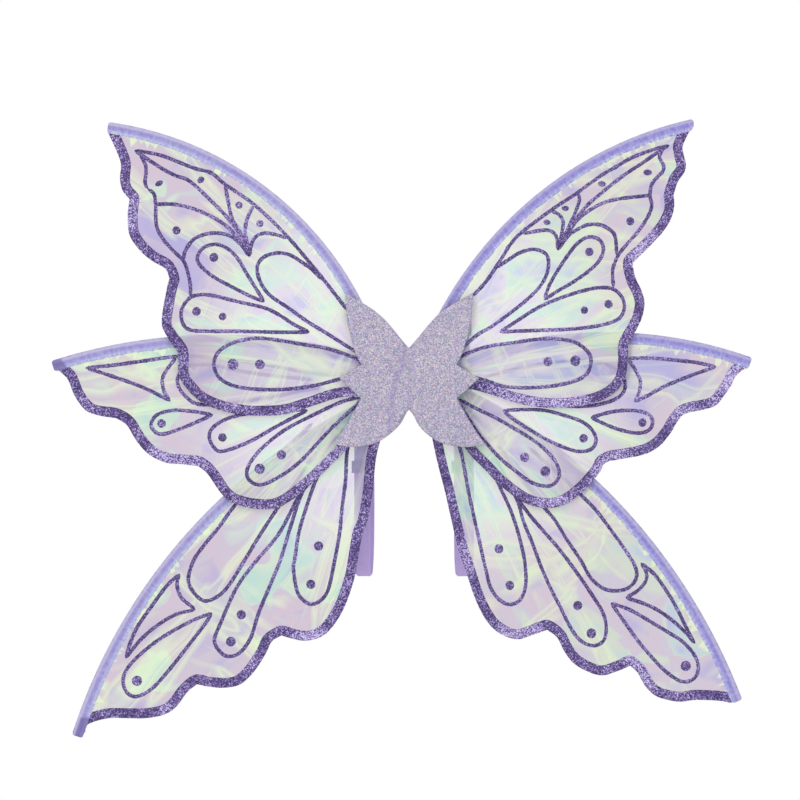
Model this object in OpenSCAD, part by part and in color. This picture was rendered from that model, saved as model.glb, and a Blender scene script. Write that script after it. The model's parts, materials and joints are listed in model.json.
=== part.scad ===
// Fairy wings: six film panels on bowed spars, fanned out from a folding hub with two arm loops.
// Z is up, X is to the right as the glitter side shows it, and -Y is the glitter side.
// The origin is the middle of the cushion's back face, which rests on the wearer.
// Wing outlines are given as [out from the middle, up], measured in the plane of the open wing.

/* [Hub] */
// Angle that each side is swept away from the wearer at rest
sweep = 10; // [0:1:14]
// Distance of each fold pin from the middle
fold_x = 7; // [6.8:0.1:7.4]
// Height of the folding spine
spine_h = 60; // [54:2:62]
// Thickness of the cushion against the wearer
cushion_t = 6; // [4:0.5:10]
// Thickness of the board behind the cushion
board_t = 2; // [1.6:0.2:3]
// Thickness of the front glitter pad
pad_t = 1.2; // [0.8:0.1:1.2]

/* [Wings] */
// Distance between the planes of two neighbouring wings
layer_pitch = 6.5; // [6.4:0.1:7.5]
// Diameter of the spar rod
rod_d = 3.8; // [3:0.1:4]
// Width of the fabric that is folded round a spar, from its outer edge
sleeve_w = 12.5; // [10:0.5:15]
// Width of the glitter hem along the free edge
hem_w = 11.5; // [8:0.5:13]
// Thickness of the hem and of the sleeve's seam
hem_t = 0.8; // [0.6:0.1:1]
// Thickness of the film
film_t = 0.4; // [0.3:0.1:0.5]

/* [Arm loops] */
// Width of the elastic
strap_w = 18; // [14:1:20]
// Thickness of the elastic
strap_t = 1.6; // [1.2:0.1:2]
// Distance of each arm loop from the middle
strap_x = 58; // [56:1:59]
// Height of the adjuster on the loop's straight run
adjuster_z = -100; // [-120:5:-95]

/* [Hidden] */
$fn = 48;
LEFT = -1;
RIGHT = 1;

lilac = "#b0a8de";
violet = "#6e5896";
film_tint = "#dcd8ee";
glitter = "#b2a5be";
elastic = "#b4a0d2";
moulded = "#a79bc4";
metal = "#c8c8cc";

gap = 0.05;              // running clearance round a pin, rivet or rod
pin_r = 1.5;
knuckle_r = 3;
plate_t = 2.6;
plate_front = -knuckle_r - 0.2;
first_layer = 3.2;       // rod centre of the upper wing behind the fold axis
fan_rivet = [26, 4];     // where one side's three wings turn, out from the middle and up
fan_rivet_r = 4;
disc_r = 11;
disc_t = 4.5;
cover_t = 2;
cover_b = first_layer + 2 * layer_pitch + disc_t / 2 + 1.55;
head_t = 1.3;
tube_r = rod_d / 2 + 1.1;
sleeve_r = rod_d / 2 + 0.7;
standoffs = [[15, 31], [15, -25]];
standoff_r = 3;
screw_r = 1.25;
board_y = -cushion_t - board_t;
hinge_y = board_y - cover_b - cover_t - head_t - 1.7;
patch_y = board_y + board_t + strap_t;
board_screw_head_r = 2.6;
strap_z = [62, -62];     // heights of the two sewn ends of an arm loop
anchor_rivet_r = 1.5;
patch = [22, 1.2, 22];
pad_stretch = [1, 1.08]; // how far each half of the pad reaches out, left and right
cap_past_rod = 4;        // how far a tip cap reaches past the end of its rod
cap_slack = 0.3;

// Each wing: the middle of its spar's arc, the arc's outer radius, the angles where its socket ends,
// where the spar ends at the hub and where it ends at the tip, its layer from the front, its free edge
// as scallops from the tip to the hub, the film's edge under the pad, and the length of its tip cap.
function arc_mid(w) = w[0];
function arc_r(w) = w[1];
function socket_a(w) = w[2];
function hub_a(w) = w[3];
function tip_a(w) = w[4];
function layer_b(w) = first_layer + w[5] * layer_pitch;
function scallops(w) = w[6];
function root_edge(w) = w[7];
function cap_len(w) = w[8];
function cap_grip(w) = cap_len(w) - cap_past_rod;

upper_left = [
  [397.5, -86.3], 386.1, 156.7, 160.9, 98.6, 0,
  [
    [[346, 285], [338, 268], [331, 249], [332, 232], [329, 218], [321, 208]],
    [[321, 208], [323, 190], [321, 167], [309, 149], [295, 137], [280, 128], [275, 117]],
    [[275, 117], [278, 105], [284, 69], [279, 52], [265, 32]],
    [[265, 32], [264, 6], [255, -10], [239, -25], [216, -35], [191, -40], [167, -41],
     [140, -39], [111, -30], [79, -20], [52, -20]]
  ],
  [[48, -12], [43, 10], [43, 62], [36, 76]], 13
];
middle_left = [
  [218, -589], 640.4, 104.8, 106.5, 72.9, 1,
  [
    [[405, 13], [392, 1], [384, -18], [371, -35], [355, -41], [336, -44]],
    [[336, -44], [324, -52], [312, -71], [298, -86], [279, -95], [259, -97], [242, -99]],
    [[242, -99], [231, -108], [214, -132], [198, -143], [175, -148], [151, -147],
     [127, -133], [103, -112], [79, -88], [60, -68]]
  ],
  [[46, -40], [42, -10], [38, 20]], 13
];
lower_left = [
  [-228, -606], 645.6, 64.2, 66, 18.3, 2,
  [
    [[376, -402], [364, -394], [344, -389], [324, -389], [302, -389], [281, -385],
     [267, -376], [254, -359], [243, -350]],
    [[243, -350], [228, -353], [211, -354], [193, -350], [177, -335], [164, -315],
     [157, -301], [146, -294]],
    [[146, -294], [132, -298], [118, -300], [101, -296], [88, -285], [75, -265], [66, -242],
     [60, -220], [53, -179], [47, -163], [41, -131], [37, -91], [30, -62]]
  ],
  [[36, -44], [42, -26], [40, 0]], 20
];
upper_right = [
  [435, -151], 459.5, 151.3, 153.1, 102.3, 0,
  [
    [[345, 300], [340, 290], [334, 279], [329, 267], [331, 256], [333, 247], [331, 238],
     [323, 227], [318, 212]],
    [[318, 212], [319, 200], [316, 187], [307, 172], [296, 160], [284, 148], [269, 134]],
    [[269, 134], [272, 118], [279, 104], [283, 91], [282, 78], [277, 64], [263, 40]],
    [[263, 40], [263, 23], [261, 6], [253, -9], [239, -20], [224, -26], [206, -30], [188, -32],
     [166, -32], [142, -29], [121, -24], [103, -18], [85, -13], [67, -9], [52, -8]]
  ],
  [[46, 2], [43, 16], [43, 62], [34, 66]], 13
];
middle_right = [
  [234, -497], 551.2, 109.2, 111.1, 71.8, 1,
  [
    [[406, 14], [397, 10], [390, 3], [385, -7], [377, -18], [367, -29], [352, -34], [335, -37]],
    [[335, -37], [326, -41], [319, -50], [311, -63], [299, -76], [282, -85], [258, -90],
     [239, -93]],
    [[239, -93], [232, -97], [228, -105], [219, -116], [207, -128], [189, -141], [170, -147],
     [152, -146], [137, -141], [122, -132], [104, -118], [89, -103], [74, -89], [58, -70]]
  ],
  [[46, -40], [42, -10], [38, 18]], 13
];
lower_right = [
  [-232.5, -619], 677.5, 63.9, 65.5, 22.5, 2,
  [
    [[389, -370], [382, -370], [371, -368], [353, -367], [338, -367], [322, -369], [307, -367],
     [292, -362], [280, -351], [271, -336], [262, -328]],
    [[262, -328], [247, -334], [230, -339], [214, -336], [195, -326], [183, -312], [174, -296],
     [162, -287]],
    [[162, -287], [144, -293], [126, -298], [108, -293], [93, -282], [81, -264], [72, -244],
     [64, -221], [56, -198], [49, -172], [43, -147], [38, -126], [33, -109], [27, -86],
     [22, -60]]
  ],
  [[30, -44], [38, -24], [42, -4]], 13
];

// Right half of the front pad's outline, from the top notch down to the bottom one.
pad_edge = [
  [[0, 35], [12, 49], [24, 64], [36, 77], [52, 88], [73, 100]],
  [[73, 100], [72, 82], [70, 64], [63, 36], [57, 22], [54, 18]],
  [[54, 18], [80, 2]],
  [[80, 2], [55, -21]],
  [[55, -21], [64, -38], [75, -57], [87, -74]],
  [[87, -74], [65, -77], [43, -74], [28, -67], [14, -54], [7, -41], [3, -36], [0, -34.5]]
];
plate_edge = [[11, 32], [11, -28], [24, -40], [44, -36], [46, -14], [50, 4], [44, 22], [50, 58],
  [40, 62], [24, 50]];

// Right half of the cushion's outline, between the arm loops.
cushion_edge = [
  [[0, 34], [12, 47], [24, 59], [35, 63], [42, 54], [44, 30], [43, 0], [44, -30], [42, -54],
   [35, -62], [25, -61], [13, -50], [5, -38], [0, -34]]
];

// Side view of an arm loop's hanging part, as [back from the board, up].
loop_hang = [[strap_t / 2, 48], [5, 30], [14, 4], [26, -38], [36, -92], [40, -140], [37, -190], [27, -219],
  [15, -225], [5, -210], [1.4, -190], [strap_t / 2, -172]];

/* Curves */

function reversed(p) = [for (i = [len(p) - 1:-1:0]) p[i]];
function before(p, i) = i == 0 ? 2 * p[0] - p[1] : p[i - 1];
function after(p, i) = i == len(p) - 1 ? 2 * p[i] - p[i - 1] : p[i + 1];
function across(p, i) = let (d = after(p, i) - before(p, i)) [d[1], -d[0]] / norm(d);

// A smooth curve through the points, without its last point.
function curve(p, n = 5) = [
  for (i = [0:len(p) - 2])
    for (k = [0:n - 1])
      let (t = k / n, a = before(p, i), b = p[i], c = p[i + 1], d = after(p, i + 1))
        (2 * b + (c - a) * t + (2 * a - 5 * b + 4 * c - d) * t * t
          + (3 * b - a - 3 * c + d) * t * t * t) / 2
];

function last(p) = p[len(p) - 1];
function whole_curve(p, n) = concat(curve(p, n), [last(p)]);
function joined(runs, n = 5) = concat([for (r = runs) each curve(r, n)], [last(last(runs))]);
function knots(runs) = concat([for (r = runs) for (i = [0:len(r) - 2]) r[i]], [last(last(runs))]);
function moved_in(p, w) = [for (i = [0:len(p) - 1]) p[i] + w * across(p, i)];
function on_arc(mid, r, a) = mid + r * [cos(a), sin(a)];

/* Placing */

// Puts what is drawn for an open right side on one side of the hub, swept as at rest.
module on_half(side) {
  translate([side * fold_x, hinge_y, 0])
    rotate([0, 0, -side * sweep])
      mirror([side < 0 ? 1 : 0, 0, 0])
        translate([-fold_x, 0, 0])
          children();
}

// Extrudes an outline that is given as out and up, from b backwards by t.
module slab(b, t) {
  translate([0, b + t, 0])
    rotate([90, 0, 0])
      linear_extrude(t)
        children();
}

module round_post(at, b, t, r) {
  slab(b, t)
    translate(at)
      circle(r);
}

// Sweeps a section along a wing's spar between two angles.
module along_spar(w, from, to) {
  translate([arc_mid(w)[0], layer_b(w), arc_mid(w)[1]])
    rotate([90, 0, 0])
      rotate([0, 0, from])
        rotate_extrude(angle = to - from, $fn = 180)
          translate([arc_r(w) - sleeve_r, 0])
            children();
}

// Puts what is drawn along +X at a wing's spar, heading for the tip.
module at_spar(w, a) {
  p = on_arc(arc_mid(w), arc_r(w) - sleeve_r, a);
  turn = tip_a(w) > a ? 90 : -90;
  translate([p[0], layer_b(w), p[1]])
    rotate([0, -a - turn, 0])
      children();
}

module rod_along_x(length, r) {
  rotate([0, 90, 0])
    cylinder(h = length, r = r);
}

/* Spine and back */

module spine() {
  web_w = 6;
  arm_b = 8.5;
  knuckles = [-spine_h / 2, -5, spine_h / 2 - 10];
  color(moulded)
    difference() {
      union() {
        translate([-web_w / 2, hinge_y + arm_b, -spine_h / 2])
          cube([web_w, board_y - hinge_y - arm_b, spine_h]);
        for (z = knuckles) {
          translate([-fold_x - knuckle_r, hinge_y + arm_b - 1.5, z])
            cube([2 * (fold_x + knuckle_r), 4, 10]);
          for (s = [LEFT, RIGHT]) {
            translate([s * fold_x, hinge_y, z])
              cylinder(h = 10, r = knuckle_r);
            translate([s * fold_x - knuckle_r, hinge_y, z])
              cube([2 * knuckle_r, arm_b, 10]);
          }
        }
      }
      for (s = [LEFT, RIGHT])
        translate([s * fold_x, hinge_y, -spine_h])
          cylinder(h = 2 * spine_h, r = pin_r);
      board_screw_holes(screw_r);
    }
}

module hinge_pins() {
  color(metal)
    for (s = [LEFT, RIGHT])
      translate([s * fold_x, hinge_y, -spine_h / 2])
        cylinder(h = spine_h, r = pin_r);
}

module board_screw_holes(r) {
  for (z = [-20, 20])
    translate([0, board_y + board_t, z])
      rotate([90, 0, 0])
        cylinder(h = 14, r = r);
}

module board_screw_heads(r) {
  for (z = [-20, 20])
    translate([0, board_y + board_t, z])
      rotate([90, 0, 0])
        cylinder(h = 1, r = r);
}

module board_screws() {
  color(metal) {
    board_screw_holes(screw_r);
    board_screw_heads(board_screw_head_r);
  }
}

// The outline whose right half runs from its top notch down to its bottom one.
module both_halves(edge, grow) {
  right = joined(edge);
  left = [for (p = reversed(right)) if (p[0] > 0) [-p[0], p[1]]];
  polygon(grow * concat(right, left));
}

module anchor_rivet_shafts(r, y, t) {
  for (s = [LEFT, RIGHT])
    for (z = strap_z)
      for (dx = [-5, 5])
        translate([s * strap_x + dx, y + t, z])
          rotate([90, 0, 0])
            cylinder(h = t, r = r);
}

module back_board() {
  color("#e8e4f0")
    difference() {
      slab(board_y, board_t)
        both_halves(pad_edge, 0.94);
      board_screw_holes(screw_r);
      board_screw_heads(board_screw_head_r);
      anchor_rivet_shafts(anchor_rivet_r, board_y - 1, board_t + 2);
    }
}

module back_cushion() {
  color("#8f7fb5")
    slab(-cushion_t, cushion_t)
      both_halves(cushion_edge, 1);
}

/* Arm loops */

module strap(side) {
  y = strap_t / 2;
  path = concat([[y, 74], [y, 50]], curve(loop_hang, 6), [[y, -172], [y, -50]]);
  color(elastic)
    difference() {
      translate([side * strap_x - strap_w / 2, board_y + board_t, 0])
        rotate([90, 0, 90])
          linear_extrude(strap_w)
            polygon(concat(moved_in(path, strap_t / 2), reversed(moved_in(path, -strap_t / 2))));
      anchor_rivet_shafts(anchor_rivet_r, board_y, board_t + 6);
    }
}

module strap_left() { strap(LEFT); }
module strap_right() { strap(RIGHT); }

module anchor_patches() {
  color(violet)
    difference() {
      for (s = [LEFT, RIGHT])
        for (z = strap_z)
          translate([s * strap_x - patch[0] / 2, patch_y, z - patch[2] / 2])
            cube(patch);
      anchor_rivet_shafts(anchor_rivet_r, patch_y - 1, patch[1] + 2);
    }
}

module anchor_rivets() {
  color(metal) {
    anchor_rivet_shafts(anchor_rivet_r, board_y, patch_y + patch[1] - board_y);
    anchor_rivet_shafts(3, patch_y + patch[1], 0.9);
    anchor_rivet_shafts(2.6, board_y - 0.6, 0.6);
  }
}

// A slide: the elastic runs between its face plate and the two bars at the wearer's side.
module adjuster(side) {
  slack = 0.4;
  rail_w = 2.2;
  bar = [strap_w + 2 * slack + 2 * rail_w, 1.6, 3.6];
  height = 14;
  front_y = -slack - bar[1];
  back_y = strap_t + slack;
  color(violet)
    translate([side * strap_x, board_y + board_t, adjuster_z]) {
      for (s = [LEFT, RIGHT])
        translate([s * (bar[0] - rail_w) / 2 - rail_w / 2, front_y, -height / 2])
          cube([rail_w, back_y + bar[1] - front_y, height]);
      for (z = [-height / 2, height / 2 - bar[2]])
        translate([-bar[0] / 2, back_y, z])
          cube(bar);
      translate([-bar[0] / 2, front_y, -height / 2])
        cube([bar[0], bar[1], height]);
    }
}

module adjuster_left() { adjuster(LEFT); }
module adjuster_right() { adjuster(RIGHT); }

/* One side of the hub */

module standoff_holes(r) {
  for (p = standoffs)
    round_post(p, cover_b - 9, 9 + cover_t, r);
}

module plate(side) {
  knuckle_h = spine_h / 2 - 15.6;
  color(moulded)
    on_half(side)
      difference() {
        union() {
          slab(plate_front, plate_t)
            polygon(plate_edge);
          for (p = standoffs)
            round_post(p, plate_front + 0.1, cover_b - plate_front - 0.1, standoff_r);
          for (z = [5.3, -5.3 - knuckle_h]) {
            translate([fold_x, 0, z])
              cylinder(h = knuckle_h, r = knuckle_r);
            translate([fold_x, plate_front, z])
              cube([6, plate_t, knuckle_h]);
          }
        }
        translate([fold_x, 0, -spine_h])
          cylinder(h = 2 * spine_h, r = pin_r + gap);
        standoff_holes(screw_r);
        round_post(fan_rivet, plate_front - 1, plate_t + 2, fan_rivet_r);
        round_post(fan_rivet, plate_front - 1, 1 + head_t, 7);
      }
}

module cover(side) {
  color(moulded)
    on_half(side)
      difference() {
        slab(cover_b, cover_t)
          polygon(plate_edge);
        standoff_holes(screw_r);
        round_post(fan_rivet, cover_b - 1, cover_t + 2, fan_rivet_r);
      }
}

module cover_screws(side) {
  color(metal)
    on_half(side) {
      standoff_holes(screw_r);
      for (p = standoffs)
        round_post(p, cover_b + cover_t, 1, 2.4);
    }
}

module fan_rivet_one(side) {
  color(metal)
    on_half(side) {
      round_post(fan_rivet, plate_front, cover_b + cover_t - plate_front + head_t, fan_rivet_r);
      round_post(fan_rivet, plate_front, head_t, 7);
      round_post(fan_rivet, cover_b + cover_t, head_t, 7);
    }
}

module washer_ring(b, t) {
  difference() {
    round_post(fan_rivet, b, t, 8);
    round_post(fan_rivet, b - 1, t + 2, fan_rivet_r);
  }
}

module washers(side) {
  between = layer_pitch - disc_t;
  color("white")
    on_half(side) {
      washer_ring(plate_front + plate_t, 1.4);
      for (k = [0, 1])
        washer_ring(first_layer + k * layer_pitch + disc_t / 2 + 0.1, between - 0.2);
      washer_ring(cover_b - 1.4, 1.4);
    }
}

module pad(side) {
  inner = fold_x - 5.4;
  color(glitter)
    on_half(side)
      slab(plate_front - pad_t, pad_t)
        intersection() {
          scale([side == LEFT ? pad_stretch[0] : pad_stretch[1], 1])
            both_halves(pad_edge, 1);
          translate([inner, -100])
            square([120, 220]);
        }
}

module plate_left() { plate(LEFT); }
module plate_right() { plate(RIGHT); }
module cover_left() { cover(LEFT); }
module cover_right() { cover(RIGHT); }
module cover_screws_left() { cover_screws(LEFT); }
module cover_screws_right() { cover_screws(RIGHT); }
module fan_rivet_left() { fan_rivet_one(LEFT); }
module fan_rivet_right() { fan_rivet_one(RIGHT); }
module washers_left() { washers(LEFT); }
module washers_right() { washers(RIGHT); }
module pad_left() { pad(LEFT); }
module pad_right() { pad(RIGHT); }

/* One wing */

// Angle on a wing's arc that is a distance along the spar from an angle, towards the hub.
function back_along(w, a, distance) =
  a + sign(hub_a(w) - a) * distance / (arc_r(w) - sleeve_r) * 180 / PI;

module socket(w, side) {
  b = layer_b(w) - disc_t / 2;
  end = on_arc(arc_mid(w), arc_r(w) - sleeve_r, hub_a(w));
  arm = end - fan_rivet;
  color(moulded)
    on_half(side)
      difference() {
        union() {
          round_post(fan_rivet, b, disc_t, disc_r);
          slab(b, disc_t)
            translate(fan_rivet)
              rotate(atan2(arm[1], arm[0]))
                translate([0, -4.5])
                  square([norm(arm) + 1, 9]);
          along_spar(w, socket_a(w), hub_a(w))
            circle(tube_r);
        }
        along_spar(w, socket_a(w) + sign(socket_a(w) - hub_a(w)), hub_a(w))
          circle(rod_d / 2 + gap);
        round_post(fan_rivet, b - 1, disc_t + 2, fan_rivet_r + gap);
      }
}

module spar(w, side) {
  color("white")
    on_half(side)
      along_spar(w, back_along(w, hub_a(w), -0.5), tip_a(w))
        circle(rod_d / 2);
}

module sleeve(w, side) {
  start = back_along(w, socket_a(w), -0.4);
  end = back_along(w, tip_a(w), cap_grip(w) + 0.3);
  color(lilac)
    on_half(side)
      difference() {
        union() {
          along_spar(w, start, end)
            circle(sleeve_r);
          along_spar(w, start, end)
            translate([sleeve_r - sleeve_w, 0])
              square([sleeve_w - sleeve_r, hem_t]);
        }
        along_spar(w, start + 1, end - 1)
          circle(rod_d / 2 + gap);
      }
}

module tip_cap(w, side) {
  r = sleeve_r + 0.3;
  color(violet)
    on_half(side)
      at_spar(w, back_along(w, tip_a(w), cap_grip(w)))
        difference() {
          union() {
            rod_along_x(cap_len(w) - r, r);
            translate([cap_len(w) - r, 0, 0])
              sphere(r);
          }
          translate([-1, 0, 0])
            rod_along_x(cap_grip(w) + 1.2, rod_d / 2 + cap_slack);
        }
}

module inside_arc(w, margin) {
  intersection() {
    children();
    translate(arc_mid(w))
      circle(arc_r(w) - margin, $fn = 360);
  }
}

module film(w, side) {
  step = (tip_a(w) - hub_a(w)) / 12;
  beyond = [for (k = [0:12]) on_arc(arc_mid(w), arc_r(w) + 6, hub_a(w) + k * step)];
  color(film_tint)
    on_half(side)
      slab(layer_b(w), film_t)
        inside_arc(w, 2 * tube_r + 0.3)
          polygon(concat(beyond, joined(scallops(w)), root_edge(w)));
}

module hem(w, side) {
  inner = whole_curve(moved_in(knots(scallops(w)), hem_w), 4);
  color(violet)
    on_half(side)
      slab(layer_b(w) - hem_t, hem_t)
        inside_arc(w, sleeve_w + 0.1)
          polygon(concat(joined(scallops(w)), reversed(inner)));
}

module socket_upper_left() { socket(upper_left, LEFT); }
module socket_middle_left() { socket(middle_left, LEFT); }
module socket_lower_left() { socket(lower_left, LEFT); }
module socket_upper_right() { socket(upper_right, RIGHT); }
module socket_middle_right() { socket(middle_right, RIGHT); }
module socket_lower_right() { socket(lower_right, RIGHT); }
module spar_upper_left() { spar(upper_left, LEFT); }
module spar_middle_left() { spar(middle_left, LEFT); }
module spar_lower_left() { spar(lower_left, LEFT); }
module spar_upper_right() { spar(upper_right, RIGHT); }
module spar_middle_right() { spar(middle_right, RIGHT); }
module spar_lower_right() { spar(lower_right, RIGHT); }
module sleeve_upper_left() { sleeve(upper_left, LEFT); }
module sleeve_middle_left() { sleeve(middle_left, LEFT); }
module sleeve_lower_left() { sleeve(lower_left, LEFT); }
module sleeve_upper_right() { sleeve(upper_right, RIGHT); }
module sleeve_middle_right() { sleeve(middle_right, RIGHT); }
module sleeve_lower_right() { sleeve(lower_right, RIGHT); }
module tip_cap_upper_left() { tip_cap(upper_left, LEFT); }
module tip_cap_middle_left() { tip_cap(middle_left, LEFT); }
module tip_cap_lower_left() { tip_cap(lower_left, LEFT); }
module tip_cap_upper_right() { tip_cap(upper_right, RIGHT); }
module tip_cap_middle_right() { tip_cap(middle_right, RIGHT); }
module tip_cap_lower_right() { tip_cap(lower_right, RIGHT); }
module film_upper_left() { film(upper_left, LEFT); }
module film_middle_left() { film(middle_left, LEFT); }
module film_lower_left() { film(lower_left, LEFT); }
module film_upper_right() { film(upper_right, RIGHT); }
module film_middle_right() { film(middle_right, RIGHT); }
module film_lower_right() { film(lower_right, RIGHT); }
module hem_upper_left() { hem(upper_left, LEFT); }
module hem_middle_left() { hem(middle_left, LEFT); }
module hem_lower_left() { hem(lower_left, LEFT); }
module hem_upper_right() { hem(upper_right, RIGHT); }
module hem_middle_right() { hem(middle_right, RIGHT); }
module hem_lower_right() { hem(lower_right, RIGHT); }

spine();
hinge_pins();
back_board();
board_screws();
back_cushion();
strap_left();
strap_right();
anchor_patches();
anchor_rivets();
adjuster_left();
adjuster_right();
plate_left();
cover_left();
cover_screws_left();
fan_rivet_left();
washers_left();
pad_left();
plate_right();
cover_right();
cover_screws_right();
fan_rivet_right();
washers_right();
pad_right();
socket_upper_left();
spar_upper_left();
sleeve_upper_left();
tip_cap_upper_left();
film_upper_left();
hem_upper_left();
socket_middle_left();
spar_middle_left();
sleeve_middle_left();
tip_cap_middle_left();
film_middle_left();
hem_middle_left();
socket_lower_left();
spar_lower_left();
sleeve_lower_left();
tip_cap_lower_left();
film_lower_left();
hem_lower_left();
socket_upper_right();
spar_upper_right();
sleeve_upper_right();
tip_cap_upper_right();
film_upper_right();
hem_upper_right();
socket_middle_right();
spar_middle_right();
sleeve_middle_right();
tip_cap_middle_right();
film_middle_right();
hem_middle_right();
socket_lower_right();
spar_lower_right();
sleeve_lower_right();
tip_cap_lower_right();
film_lower_right();
hem_lower_right();
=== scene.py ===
"""Fairy wings: the looks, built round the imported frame.

Wing shapes are in millimetres in each wing's own plane, and the scene is in metres.
"""

import json
import math

import bmesh
import bpy
import numpy as np
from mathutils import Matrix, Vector, noise
from mathutils.geometry import delaunay_2d_cdt
from mathutils.kdtree import KDTree


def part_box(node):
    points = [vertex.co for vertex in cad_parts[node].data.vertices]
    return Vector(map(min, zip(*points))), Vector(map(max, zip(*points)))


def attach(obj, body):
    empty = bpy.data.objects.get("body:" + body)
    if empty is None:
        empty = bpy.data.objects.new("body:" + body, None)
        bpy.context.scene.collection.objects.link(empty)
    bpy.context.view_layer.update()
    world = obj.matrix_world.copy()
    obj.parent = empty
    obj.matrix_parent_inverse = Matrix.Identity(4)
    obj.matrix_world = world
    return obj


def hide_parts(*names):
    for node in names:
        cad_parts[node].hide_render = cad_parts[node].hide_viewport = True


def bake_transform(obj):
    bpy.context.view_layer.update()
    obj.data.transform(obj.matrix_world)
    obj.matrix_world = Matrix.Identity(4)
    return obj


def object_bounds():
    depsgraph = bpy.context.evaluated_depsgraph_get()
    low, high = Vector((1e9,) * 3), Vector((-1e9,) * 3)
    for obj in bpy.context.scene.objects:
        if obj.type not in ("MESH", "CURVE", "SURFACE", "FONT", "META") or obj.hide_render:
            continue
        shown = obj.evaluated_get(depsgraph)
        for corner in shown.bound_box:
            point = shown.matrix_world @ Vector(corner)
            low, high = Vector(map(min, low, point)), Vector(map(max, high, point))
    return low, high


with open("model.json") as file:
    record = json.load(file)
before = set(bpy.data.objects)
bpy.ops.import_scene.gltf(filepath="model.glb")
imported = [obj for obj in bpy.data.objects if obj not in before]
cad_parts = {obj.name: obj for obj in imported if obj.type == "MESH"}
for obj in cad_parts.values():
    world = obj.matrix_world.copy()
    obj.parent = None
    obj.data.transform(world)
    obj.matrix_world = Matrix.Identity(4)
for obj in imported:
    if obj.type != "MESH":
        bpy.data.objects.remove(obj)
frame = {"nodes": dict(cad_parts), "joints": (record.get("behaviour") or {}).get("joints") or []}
cad_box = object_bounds()

MM = 0.001
SIDES = {"left": -1, "right": 1}
LEVELS = ("upper", "middle", "lower")
RIVET = np.array([26.0, 4.0])  # where a side's wings turn, out from the middle and up

FILM_STEP = 3.6     # width of the film's triangles
HEM_STEP = 2.4      # width of the hem's triangles
HEM_LIFT = 0.9      # of the hem's front above the film
HEM_DROP = 0.35     # of the hem's back below the film
HEM_ROLL = 2.6      # how far in from its edge the hem rises
HEM_RAGGED = 0.35
SEAM = 12.5 - 2.6   # from the rod's centre to the sleeve's inner edge
LINE_STEP = 1.6
LINE_WIDTH = 4.3
LINE_LIFT = 0.45    # of the printed lines and dots above the film

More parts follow.
